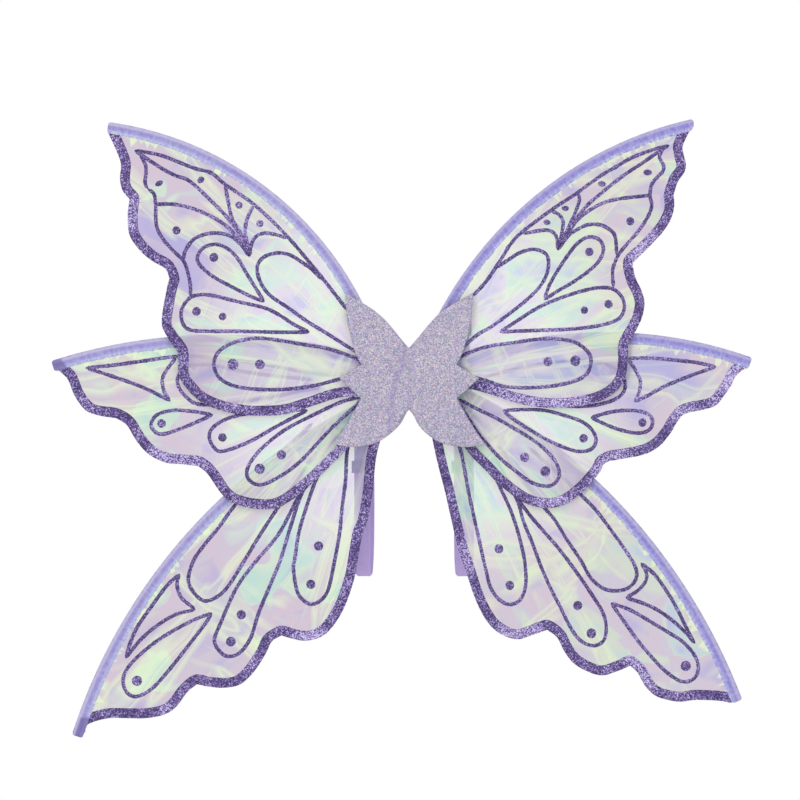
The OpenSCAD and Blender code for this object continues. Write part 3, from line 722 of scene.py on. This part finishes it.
STRAP_STEPS = 260
STRAP_HALF = 0.8      # half of the elastic's thickness
STRAP_CORNER = 3.5    # how round the elastic looks at its lower bend


def ribbon_path(node):
    """The middle line of a strap's CAD solid, from one sewn end to the other, in metres."""
    pts = points_of(node)
    follows = rim(node, [(round(p[1], 6), round(p[2], 6)) for p in pts], pts[:, 0], 1e-6)
    loop = [max(follows, key=lambda q: q[1])]
    while follows[loop[-1]] != loop[0]:
        loop.append(follows[loop[-1]])
    loop = np.array(loop)
    across, up = np.abs(np.roll(loop, -1, 0) - loop).T
    a, b = sorted(np.argsort(-across * (up < 1e-5))[:2])  # the cut ends are the only level edges
    one, two = loop[a + 1:b + 1], np.vstack([loop[b + 1:], loop[:a + 1]])[::-1]
    shares = np.linspace(0, 1, STRAP_STEPS)
    even = [np.stack([np.interp(shares, walked(p) / walked(p)[-1], p[:, k]) for k in (0, 1)], -1)
            for p in (one, two)]
    return (even[0] + even[1]) / 2


def walked(p):
    """How far each point of a path is along it."""
    return np.concatenate([[0], np.cumsum(np.linalg.norm(np.diff(p, axis=0), axis=1))])


def strap(side):
    """Woven elastic: a flat band with thicker cords along both edges."""
    node = f"strap_{side}"
    lo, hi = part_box(node)
    path = ribbon_path(node)
    across = [(-1, 0), (-0.985, 0.6), (-0.93, 0.95), (-0.86, 0.7), (-0.5, 0.62), (0, 0.6), (0.5, 0.62),
              (0.86, 0.7), (0.93, 0.95), (0.985, 0.6), (1, 0)]
    section = across + [(x, -h) for x, h in reversed(across[1:-1])]
    wide = (hi[0] - lo[0]) / 2
    verts, rest = [], []
    for p, q, s in zip(path, normals(path), walked(path)):
        tuck = rounded_off((p[1] - path[:, 1].min()) / MM, STRAP_CORNER) * MM
        for x, h in section:
            yz = p + q * h * STRAP_HALF * MM
            verts.append(((lo[0] + hi[0]) / 2 + x * (wide - tuck), yz[0], yz[1]))
            rest.append((x * wide, s, h * STRAP_HALF * MM))
    obj = piece(f"elastic_{side}", verts, tube_faces(len(path), len(section)), LOOKS["elastic"], "spine")
    attribute(obj, "flat", rest)
    fix_normals(obj)
    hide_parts(node)


CUSHION_VOXEL = 0.0024
CUSHION_FRAMES = 20
CUSHION_CAP = 1.4       # how far the cloth may move a point
CHANNEL_AT = 22         # from the middle to each sewn channel
CHANNEL_DEPTH = 1.5


def settle_cushion(obj):
    """Inflates the cushion with Blender's cloth, and caps how far a point may move."""
    remesh = obj.modifiers.new("even", "REMESH")
    remesh.mode = "VOXEL"
    remesh.voxel_size = CUSHION_VOXEL
    apply_modifiers(obj)
    start = points_in(obj)
    cloth = obj.modifiers.new("cloth", "CLOTH")
    cloth.settings.use_pressure = True
    cloth.settings.uniform_pressure_force = 4
    cloth.settings.tension_stiffness = 8
    cloth.settings.effector_weights.gravity = 0
    scene = bpy.context.scene
    for f in range(CUSHION_FRAMES):
        scene.frame_set(f + 1)
    apply_modifiers(obj)
    scene.frame_set(1)
    moved = points_in(obj) - start
    far = np.linalg.norm(moved, axis=1)[:, None]
    moved *= np.minimum(1, CUSHION_CAP * MM / np.maximum(far, 1e-9))
    obj.data.vertices.foreach_set("co", (start + moved).ravel())
    obj.data.update()


def apply_modifiers(obj):
    made = bpy.data.meshes.new_from_object(obj.evaluated_get(bpy.context.evaluated_depsgraph_get()))
    obj.modifiers.clear()
    old = obj.data
    obj.data = made
    bpy.data.meshes.remove(old)


def cushion():
    """The felt cushion that lies on the wearer, puffed between a sewn edge and two sewn channels."""
    lo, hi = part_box("back_cushion")
    plane = back_plane(hi[1]).rest_on("back_cushion")
    thick = (hi[1] - lo[1]) / MM

    def puff(_u, _v, edge):
        return -1.6 * (1 - ease(edge / 7)) - 0.3

    obj, _ = slab_piece("back_pad", "back_cushion", plane, 4, LOOKS["felt"], thick - 0.6, puff, 1.2)
    settle_cushion(obj)
    top = max(v.co.y for v in obj.data.vertices)
    sewn_cushion(obj, top)
    keep_rest(obj)
    obj.data.materials.clear()
    obj.data.materials.append(LOOKS["felt"])
    obj.data.shade_smooth()
    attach(obj, "spine")
    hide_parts("back_cushion")


def sewn_cushion(obj, top):
    """Presses the sewn channels into the cushion's face."""
    for v in obj.data.vertices:
        if v.co.y > top - 0.004:
            v.co.y -= CHANNEL_DEPTH * MM * math.exp(-((abs(v.co.x) / MM - CHANNEL_AT) / 2.4) ** 2)
        v.co.y = min(v.co.y, 0.0)


# ---- materials ----

def rgb(r, g, b):
    """A screen colour, from 0 to 255, as the linear colour that a shader takes."""
    return tuple(((c / 255 + 0.055) / 1.055) ** 2.4 for c in (r, g, b)) + (1,)


class Look:
    """A material with short calls for the nodes that the looks below are made of."""

    def __init__(self, name, **sockets):
        self.material = bpy.data.materials.new(name)
        self.material.use_nodes = True
        self.tree = self.material.node_tree
        self.shader = self.tree.nodes["Principled BSDF"]
        for key, value in sockets.items():
            self.shader.inputs[key.replace("_", " ")].default_value = value

    def add(self, kind, links=(), **values):
        node = self.tree.nodes.new(kind)
        for key, value in values.items():
            setattr(node, key, value)
        for socket, source in dict(links).items():
            self.put(node.inputs[socket], source)
        return node

    def put(self, socket, source):
        if isinstance(source, bpy.types.NodeSocket):
            self.tree.links.new(source, socket)
        else:
            socket.default_value = source

    def to(self, name, source):
        self.put(self.shader.inputs[name], source)

    def place(self, name=None):
        if name is None:
            return self.add("ShaderNodeTexCoord").outputs["Object"]
        return self.add("ShaderNodeAttribute", attribute_name=name).outputs["Vector"]

    def scaled(self, vector, x, y, z):
        return self.add("ShaderNodeVectorMath", {0: vector, 1: (x, y, z)}, operation="MULTIPLY").outputs[0]

    def added(self, vector, other):
        return self.add("ShaderNodeVectorMath", {0: vector, 1: other}, operation="ADD").outputs[0]

    def noise(self, vector, scale, detail=2.0, rough=0.5, bend=0.0):
        n = self.add("ShaderNodeTexNoise", {"Vector": vector, "Scale": scale, "Detail": detail,
                                            "Roughness": rough, "Distortion": bend})
        return n.outputs["Fac"]

    def cells(self, vector, scale, feature="F1", output="Color"):
        n = self.add("ShaderNodeTexVoronoi", {"Vector": vector, "Scale": scale}, feature=feature)
        return n.outputs[output]

    def ramp(self, fac, stops):
        n = self.add("ShaderNodeValToRGB", {"Fac": fac})
        while len(n.color_ramp.elements) < len(stops):
            n.color_ramp.elements.new(0.5)
        for e, (at, colour) in zip(n.color_ramp.elements, stops):
            e.position = at
            e.color = colour if isinstance(colour, tuple) else (colour, colour, colour, 1)
        return n.outputs["Color"]

    def mix(self, fac, a, b):
        n = self.add("ShaderNodeMix", data_type="RGBA")
        self.put(n.inputs[0], fac)
        self.put(n.inputs[6], a)
        self.put(n.inputs[7], b)
        return n.outputs[2]

    def math(self, how, a, b=0.0):
        return self.add("ShaderNodeMath", {0: a, 1: b}, operation=how).outputs[0]

    def times(self, a, b):
        return self.math("MULTIPLY", a, b)

    def plus(self, a, b):
        return self.math("ADD", a, b)

    def less(self, a, b):
        return self.math("SUBTRACT", a, b)

    def most(self, a, b):
        return self.math("MAXIMUM", a, b)

    def wave(self, a):
        return self.math("SINE", a)

    def between(self, value, low, high, start=0.0, end=1.0, kind="LINEAR"):
        """The value's way from low to high, as start to end."""
        n = self.add("ShaderNodeMapRange", {"Value": value, "From Min": low, "From Max": high,
                                            "To Min": start, "To Max": end}, interpolation_type=kind)
        return n.outputs[0]

    def part(self, vector, axis):
        return self.add("ShaderNodeSeparateXYZ", {"Vector": vector}).outputs[axis]

    def first(self, colour):
        return self.add("ShaderNodeSeparateColor", {"Color": colour}).outputs[0]

    def second(self, colour):
        return self.add("ShaderNodeSeparateColor", {"Color": colour}).outputs[1]

    def turned(self, vector, angle, x, y):
        """The vector turned about Z and then scaled."""
        n = self.add("ShaderNodeVectorRotate", {"Vector": vector, "Angle": angle}, rotation_type="Z_AXIS")
        return self.scaled(n.outputs[0], x, y, 3.0)

    def seam_pucker_highlights(self, seam):
        """Painted highlights: short pale marks where the film puckers beside its seam. The vector's X is
        along the seam, and its Y from it.
        """
        gap = self.part(seam, 1)
        fade = self.between(gap, 0.0, 0.024, 0.16, -0.22)
        wide = self.noise(self.scaled(seam, 62.0, 16.0, 1.0), 1.0, 2.0, 0.6)
        thin = self.noise(self.scaled(seam, 230.0, 60.0, 1.0), 1.0, 1.0)
        pucker_highlight = self.plus(self.plus(self.times(wide, 0.75), fade), self.times(thin, 0.25))
        return self.first(self.ramp(pucker_highlight, [(0.61, 0.0), (0.67, 1.0)]))

    def bump(self, height, strength, distance, onto=None):
        n = self.add("ShaderNodeBump", {"Height": height, "Strength": strength, "Distance": distance})
        if onto is not None:
            self.put(n.inputs["Normal"], onto)
        return n.outputs["Normal"]


def film_look(name, mint, teal, hub_mint, hub_teal, painted_highlight_colour, shine):
    """Thin clear film: pastel facets, some mint and teal as painted reflections, with painted highlights on
    its creases and where it puckers beside the sleeve's seam.
    """
    k = Look(name, Coat_Weight=0.5, Coat_Roughness=0.1, IOR=1.5, Thin_Film_Thickness=430, Thin_Film_IOR=1.7)
    fan, flat, seam = k.place("fan"), k.place("flat"), k.place("seam")
    drift = k.add("ShaderNodeTexNoise", {"Vector": flat, "Scale": 14.0, "Detail": 1.0}).outputs["Color"]
    warp = k.added(drift, (-0.5, -0.5, 0.0))

    def warped(vector, share):
        return k.added(vector, k.scaled(warp, share, share, 0.0))

    # The tint: facets that spread from the hub or lie across the wing, whose mint and teal are painted
    # reflections, and lighter ones near the hub, where the wings overlap, partly their own colour and partly
    # painted light.
    broad = k.noise(warped(k.scaled(fan, 3.0, 6.0, 1.7), 0.9), 1.7, 2.0, 0.5, 0.5)
    sheet = k.noise(warped(k.turned(flat, 0.45, 5.0, 15.0), 0.7), 1.0, 2.0, 0.5, 0.6)
    facet = k.cells(warped(k.scaled(fan, 7.0, 16.0, 2.3), 1.6), 1.0)
    patch = k.plus(k.plus(k.times(broad, 0.46), k.times(sheet, 0.42)), k.times(k.first(facet), 0.12))
    # Painted reflections: the mint and teal stops stand for the colour that the film reflects.
    tint = k.ramp(patch, [(0.36, rgb(136, 134, 202)), (0.42, rgb(156, 144, 196)), (0.47, rgb(174, 166, 190)),
                          (0.51, rgb(184, 162, 188)), (0.545, rgb(172, 168, 194)), (0.585, mint),
                          (0.64, teal), (0.70, rgb(142, 146, 206))])
    # Near the hub: lighter colours, partly the film's own and partly painted light where the wings overlap.
    light = k.ramp(patch, [(0.38, rgb(172, 180, 228)), (0.44, rgb(212, 202, 228)), (0.50, rgb(208, 206, 230)),
                           (0.535, hub_mint), (0.59, hub_teal), (0.66, rgb(174, 188, 232))])
    near = k.between(k.second(fan), 0.13, 0.27, 1.0, 0.0, "SMOOTHSTEP")
    clear = k.part(k.place("clear"), 0)
    tint = k.mix(k.times(near, 0.74), tint, light)
    tint = k.mix(k.times(clear, 0.6), tint, rgb(164, 146, 204))

    # The creases, with painted highlights: some run out from the hub, and the others cross the wing at three
    # angles.
    fold = k.noise(warped(k.scaled(fan, 9.0, 2.6, 3.1), 0.4), 1.3, 2.0, 0.5, 0.1)
    fold = k.ramp(fold, [(0.53, 0.0), (0.60, 0.75), (0.625, 0.2), (0.70, 0.8)])
    cross = k.noise(warped(k.turned(flat, -0.6, 5.0, 24.0), 0.7), 1.0, 2.0, 0.5, 0.1)
    cross = k.ramp(cross, [(0.56, 0.0), (0.62, 0.8), (0.645, 0.25), (0.72, 0.9)])
    level = k.noise(warped(k.turned(flat, 0.12, 3.6, 20.0), 0.7), 1.0, 1.5, 0.5, 0.1)
    level = k.ramp(level, [(0.57, 0.0), (0.64, 0.75), (0.665, 0.2), (0.74, 0.7)])
    thin = k.noise(warped(k.turned(flat, 1.05, 7.0, 62.0), 0.8), 1.0, 1.0, 0.5, 0.1)
    thin = k.ramp(thin, [(0.56, 0.0), (0.6, 0.7), (0.62, 0.1), (0.68, 0.6)])
    painted_crease_highlight = k.most(k.most(k.most(fold, cross), level), k.times(thin, near))
    # Painted highlights of the puckers beside the seam join those of the creases, and fewer show in the clear
    # strip.
    painted_crease_highlight = k.times(k.most(painted_crease_highlight, k.seam_pucker_highlights(seam)), k.less(1.0, k.times(clear, 0.35)))

    # Painted highlights: the creases and puckers move the colour towards a pale highlight tint, and make the
    # film less clear there.
    k.to("Base Color", k.mix(k.times(painted_crease_highlight, shine), tint, painted_highlight_colour))
    body = k.less(k.less(0.8, k.times(near, 0.1)), k.times(clear, 0.2))
    k.to("Alpha", k.plus(k.times(painted_crease_highlight, 0.16), body))
    k.to("Roughness", k.plus(k.times(k.noise(flat, 60.0, 2.0), 0.12), 0.12))
    dents = k.noise(flat, 70.0, 3.0, 0.55)
    creases = k.cells(warped(flat, 0.02), 34.0, "DISTANCE_TO_EDGE", "Distance")
    sharp = k.ramp(creases, [(0.0, 0.0), (0.12, 1.0)])
    k.to("Normal", k.bump(dents, 0.35, 0.0016, k.bump(sharp, 0.12, 0.0006)))
    return k.material


def glitter_look(name, shades, size, metal, patchy, hues=0.0, place="flat"):
    """Flakes of glitter: each has its own shade and tilt, the palest are painted glints, some sparkle, and
    their shade drifts in patches. With hues, the flakes take their own colours and painted shade darkens the
    crease.
    """
    k = Look(name, Specular_IOR_Level=0.6)
    at = k.place(place)
    flake = k.cells(at, 1 / size)
    fine = k.first(k.cells(at, 1.9 / size))
    shade = k.plus(k.times(k.first(flake), 0.72), k.times(fine, 0.28))
    patch = k.noise(at, 38.0, 3.0, 0.6)
    wide = k.ramp(k.noise(at, 13.0, 1.0), [(0.52, 0.0), (0.66, 0.34 * patchy)])
    drift = k.plus(k.times(k.less(patch, 0.5), patchy), k.first(wide))
    # The lightest of the four shades paints glints on flakes that catch the light.
    colour = k.ramp(k.plus(shade, drift), list(zip((0.25, 0.48, 0.7, 0.92), shades)))
    if hues:
        # Painted shade: the glitter darkens towards lilac along the pad's crease.
        folded = k.part(k.place("crease"), 0)
        colour = k.mix(k.times(folded, 0.5), k.mix(hues, colour, flake), rgb(142, 124, 182))
    k.to("Base Color", colour)
    k.to("Metallic", k.ramp(k.second(flake), [(0.4, 0.0), (0.6, metal)]))
    k.to("Roughness", k.ramp(shade, [(0.0, 0.55), (1.0, 0.28)]))
    k.to("Normal", k.bump(shade, 0.55, size * 0.5, k.bump(patch, 0.2, 0.001)))
    return k.material


def elastic_look(name, colour, light):
    """Woven elastic: crossed threads, soft colour changes and a slight sheen."""
    k = Look(name, Roughness=0.7, Sheen_Weight=0.3, Sheen_Roughness=0.4)
    at = k.place("flat")
    warp, weft = k.wave(k.times(k.part(at, 0), 7800.0)), k.wave(k.times(k.part(at, 1), 5200.0))
    cloth = k.plus(k.times(warp, 0.25), k.plus(k.times(weft, 0.25), 0.5))
    soft = k.noise(at, 90.0, 3.0, 0.6)
    k.to("Base Color", k.mix(k.plus(k.times(cloth, 0.4), k.times(soft, 0.6)), colour, light))
    k.to("Roughness", k.ramp(soft, [(0.3, 0.62), (0.7, 0.82)]))
    k.to("Normal", k.bump(cloth, 0.5, 0.0004, k.bump(soft, 0.3, 0.0006)))
    return k.material


def sleeve_look(name, rim, ridge, deep, inner):
    """Satin folded over the rod, shaded from its rim to its sewn edge: painted shade at the rim and beside
    the rod, a painted highlight along the rod, mottled, with painted highlights where puckered film lies on
    the sewn edge, and darker at some tips.
    """
    k = Look(name, Roughness=0.62, Sheen_Weight=0.15, Sheen_Roughness=0.4)
    at = k.place("flat")
    depth = k.part(at, 1)
    wobble = k.times(k.less(k.noise(k.scaled(at, 1.0, 0.3, 1.0), 130.0, 2.0), 0.5), 0.0035)
    share = k.between(k.plus(depth, wobble), -0.0034, 0.0100)
    # Across the sleeve: painted shade at the rim, a painted highlight where it rounds over the rod, painted
    # shade beside the rod, and the lighter inner part.
    shaded = k.ramp(share, [(0.0, rim), (0.1, ridge), (0.26, ridge), (0.40, deep), (0.6, deep), (0.78, inner),
                            (1.0, inner)])
    mottle = k.noise(k.scaled(at, 1.0, 0.6, 1.0), 260.0, 3.0, 0.6)
    shaded = k.mix(k.first(k.ramp(mottle, [(0.35, 0.0), (0.7, 0.35)])), shaded, rgb(206, 208, 232))
    # Painted highlights: pale marks where puckered film lies on the sewn edge.
    painted_pucker_glints = k.ramp(k.noise(k.scaled(at, 1.0, 0.4, 1.0), 460.0, 2.0), [(0.50, 0.0), (0.60, 1.0)])
    sewn = k.times(k.between(depth, 0.0062, 0.0098), 0.75)
    shaded = k.mix(k.times(k.first(painted_pucker_glints), sewn), shaded, rgb(208, 222, 226))
    # Darker over the last stretch of some tips.
    tip_darkening = k.part(k.place("tip"), 0)
    k.to("Base Color", k.mix(k.times(tip_darkening, 0.75), shaded, rgb(98, 82, 150)))
    weave = k.times(k.wave(k.times(k.part(at, 0), 4600.0)), k.wave(k.times(depth, 4600.0)))
    k.to("Roughness", k.ramp(mottle, [(0.3, 0.5), (0.7, 0.75)]))
    k.to("Normal", k.bump(weave, 0.3, 0.0003, k.bump(mottle, 0.45, 0.0012)))
    return k.material


def plastic_look(name, colour, rough=0.4, fineness=900.0):
    """Moulded plastic or vinyl: a fine grain and slightly cloudy colour."""
    k = Look(name, Specular_IOR_Level=0.5)
    at = k.place()
    fine, cloud = k.noise(at, fineness, 2.0), k.noise(at, 60.0, 3.0)
    k.to("Base Color", k.mix(k.times(cloud, 0.5), colour, tuple(c * 0.8 for c in colour[:3]) + (1,)))
    k.to("Roughness", k.plus(k.times(fine, 0.2), rough - 0.1))
    k.to("Normal", k.bump(fine, 0.12, 0.0003))
    return k.material


def metal_look():
    """Plated steel, slightly worn, with turning marks."""
    k = Look("plated_steel", Metallic=1.0)
    at = k.place()
    turned = k.noise(k.scaled(at, 1.0, 12.0, 1.0), 700.0, 3.0)
    worn = k.noise(at, 240.0, 3.0)
    k.to("Base Color", k.mix(worn, rgb(176, 176, 182), rgb(214, 214, 220)))
    k.to("Roughness", k.plus(k.times(turned, 0.25), 0.18))
    k.to("Normal", k.bump(turned, 0.1, 0.0002))
    return k.material


def felt_look(name, colour, light):
    """Matted fibres in clouds of two shades."""
    k = Look(name, Roughness=0.9, Sheen_Weight=0.4, Sheen_Roughness=0.6)
    at = k.place("rest")
    fibres = k.noise(k.scaled(at, 1.0, 1.0, 0.55), 1500.0, 4.0, 0.7, 1.2)
    cloud = k.noise(at, 45.0, 3.0)
    mixed = k.plus(k.times(fibres, 0.65), k.times(cloud, 0.35))
    k.to("Base Color", k.ramp(mixed, [(0.34, colour), (0.64, light)]))
    k.to("Roughness", k.ramp(fibres, [(0.3, 0.8), (0.7, 0.95)]))
    k.to("Normal", k.bump(fibres, 0.6, 0.0007))
    return k.material


LOOKS = {
    # The films' highlight colour and shine paint the highlights on their creases.
    "film_left": film_look("iridescent_film", mint=rgb(180, 208, 186), teal=rgb(148, 200, 190),
                           hub_mint=rgb(198, 232, 218), hub_teal=rgb(176, 222, 222),
                           painted_highlight_colour=rgb(219, 243, 198), shine=0.8),
    "film_right": film_look("iridescent_film_right", mint=rgb(180, 194, 178), teal=rgb(158, 184, 198),
                            hub_mint=rgb(192, 234, 216), hub_teal=rgb(160, 216, 214),
                            painted_highlight_colour=rgb(222, 239, 196), shine=0.7),
    # Each glitter's palest shade is its painted glint.
    "hem": glitter_look("dark_glitter",
                        (rgb(42, 26, 82), rgb(74, 50, 120), rgb(122, 98, 172), rgb(204, 193, 232)),
                        size=0.0011, metal=0.3, patchy=0.8),
    "print": glitter_look("print_glitter",
                          (rgb(48, 30, 88), rgb(72, 52, 118), rgb(102, 80, 150), rgb(176, 162, 212)),
                          size=0.0011, metal=0.25, patchy=0.4),
    "pad": glitter_look("pale_glitter",
                        (rgb(134, 120, 158), rgb(160, 148, 180), rgb(184, 174, 200), rgb(214, 216, 214)),
                        size=0.0010, metal=0.2, patchy=0.12, hues=0.18, place="rest"),
    # The sleeves' rim and deep colours are painted shade, and their ridge colour a painted highlight.
    "sleeve_left": sleeve_look("sleeve_satin", rim=rgb(140, 130, 170), ridge=rgb(172, 165, 204),
                               deep=rgb(142, 132, 196), inner=rgb(160, 160, 212)),
    "sleeve_right": sleeve_look("sleeve_satin_right", rim=rgb(132, 124, 166), ridge=rgb(160, 152, 200),
                                deep=rgb(128, 118, 196), inner=rgb(146, 142, 208)),
    "elastic": elastic_look("elastic_webbing", rgb(164, 142, 200), rgb(188, 168, 218)),
    "patch": plastic_look("patch_vinyl", rgb(112, 92, 156), 0.55, 1400.0),
    "felt": felt_look("felt", rgb(128, 108, 172), rgb(158, 140, 198)),
    "cap": plastic_look("cap_plastic", rgb(134, 120, 196)),
    "moulding": plastic_look("moulded_nylon", rgb(176, 164, 208), 0.45),
    "nylon": plastic_look("white_nylon", rgb(228, 228, 232)),
    "rod": plastic_look("fibre_rod", rgb(236, 236, 240), 0.3, 1800.0),
    "board": plastic_look("stiff_board", rgb(224, 218, 236), 0.6),
    "buckle": plastic_look("buckle_plastic", rgb(92, 70, 146), 0.3),
    "steel": metal_look(),
}


# ---- the camera and the lights, first, then everything else ----

CAMERA_AZIMUTH = math.radians(8)
CAMERA_AWAY = 30.0
VIEW_WIDTH = 0.92
VIEW_LEFT = 0.0098    # how far left of the hinge pins the camera looks
VIEW_HEIGHT = -0.023


def camera():
    away = Vector((math.sin(CAMERA_AZIMUTH), -math.cos(CAMERA_AZIMUTH), 0))
    right = Vector((math.cos(CAMERA_AZIMUTH), math.sin(CAMERA_AZIMUTH), 0))
    aim = Vector((0, joint("fold_left")["pos_m"][1], VIEW_HEIGHT)) - right * VIEW_LEFT
    data = bpy.data.cameras.new("camera")
    data.sensor_width = 36
    data.lens = data.sensor_width / VIEW_WIDTH * CAMERA_AWAY
    cam = bpy.data.objects.new("camera", data)
    cam.location = aim + away * CAMERA_AWAY
    cam.rotation_mode = "QUATERNION"
    cam.rotation_quaternion = (-away).to_track_quat("-Z", "Y")
    bpy.context.scene.collection.objects.link(cam)
    bpy.context.scene.camera = cam


def area_lamp(name, place, size, power):
    data = bpy.data.lights.new(name, "AREA")
    data.size = size
    data.energy = power
    lamp = bpy.data.objects.new(name, data)
    lamp.location = place
    lamp.rotation_mode = "QUATERNION"
    lamp.rotation_quaternion = (-Vector(place)).to_track_quat("-Z", "Y")
    bpy.context.scene.collection.objects.link(lamp)


def studio():
    """A white world and three soft lamps."""
    scene = bpy.context.scene
    scene.view_settings.view_transform = "Standard"
    world = bpy.data.worlds.new("studio")
    world.use_nodes = True
    background = world.node_tree.nodes["Background"]
    background.inputs["Color"].default_value = (1, 1, 1, 1)
    background.inputs["Strength"].default_value = 1.0
    scene.world = world
    area_lamp("key", (-1.6, -2.2, 1.8), 0.9, 14)
    area_lamp("fill", (2.0, -2.0, 0.6), 1.2, 8)
    area_lamp("back", (0.4, 2.4, 1.6), 1.2, 10)


def paper_floor():
    """A white disc of paper under the wings."""
    bm = bmesh.new()
    bmesh.ops.create_circle(bm, cap_ends=True, segments=96, radius=0.7)
    mesh = bpy.data.meshes.new("floor")
    bm.to_mesh(mesh)
    bm.free()
    floor = bpy.data.objects.new("floor", mesh)
    floor.location = (0, 0, cad_box[0][2] - 0.09)
    look = Look("floor_paper", Roughness=0.9)
    paper = look.noise(look.place(), 400.0, 2.0)
    look.to("Base Color", look.mix(paper, (0.93, 0.93, 0.93, 1), (0.97, 0.97, 0.97, 1)))
    mesh.materials.append(look.material)
    bpy.context.scene.collection.objects.link(floor)


CAD_LOOKS = {
    "spine": "moulding", "hinge_pins": "steel", "back_board": "board", "board_screws": "steel",
    "anchor_patches": "patch", "anchor_rivets": "steel", "adjuster": "buckle", "plate": "moulding",
    "cover": "moulding", "cover_screws": "steel", "fan_rivet": "steel", "washers": "nylon",
    "socket": "moulding", "spar": "rod", "tip_cap": "cap",
}
SOFT_EDGED = ("adjuster", "plate", "cover", "spine", "anchor_patches")


def dress_cad():
    """Gives the CAD nodes that stay their materials, and softens their moulded edges."""
    for node, obj in frame["nodes"].items():
        kind = max((k for k in CAD_LOOKS if node.startswith(k)), key=len, default=None)
        if kind is None:
            continue
        obj.data.materials.clear()
        obj.data.materials.append(LOOKS[CAD_LOOKS[kind]])
        if kind in SOFT_EDGED:
            soft = obj.modifiers.new("edges", "BEVEL")
            soft.width = 0.4 * MM
            soft.segments = 2
            soft.limit_method = "ANGLE"


camera()
studio()
paper_floor()
dress_cad()
for i, side in enumerate(SIDES):
    for j, level in enumerate(LEVELS):
        wing(level, side, seed=11.7 * (i + 1) + 3.1 * j)
    pad(side)
    strap(side)
cushion()
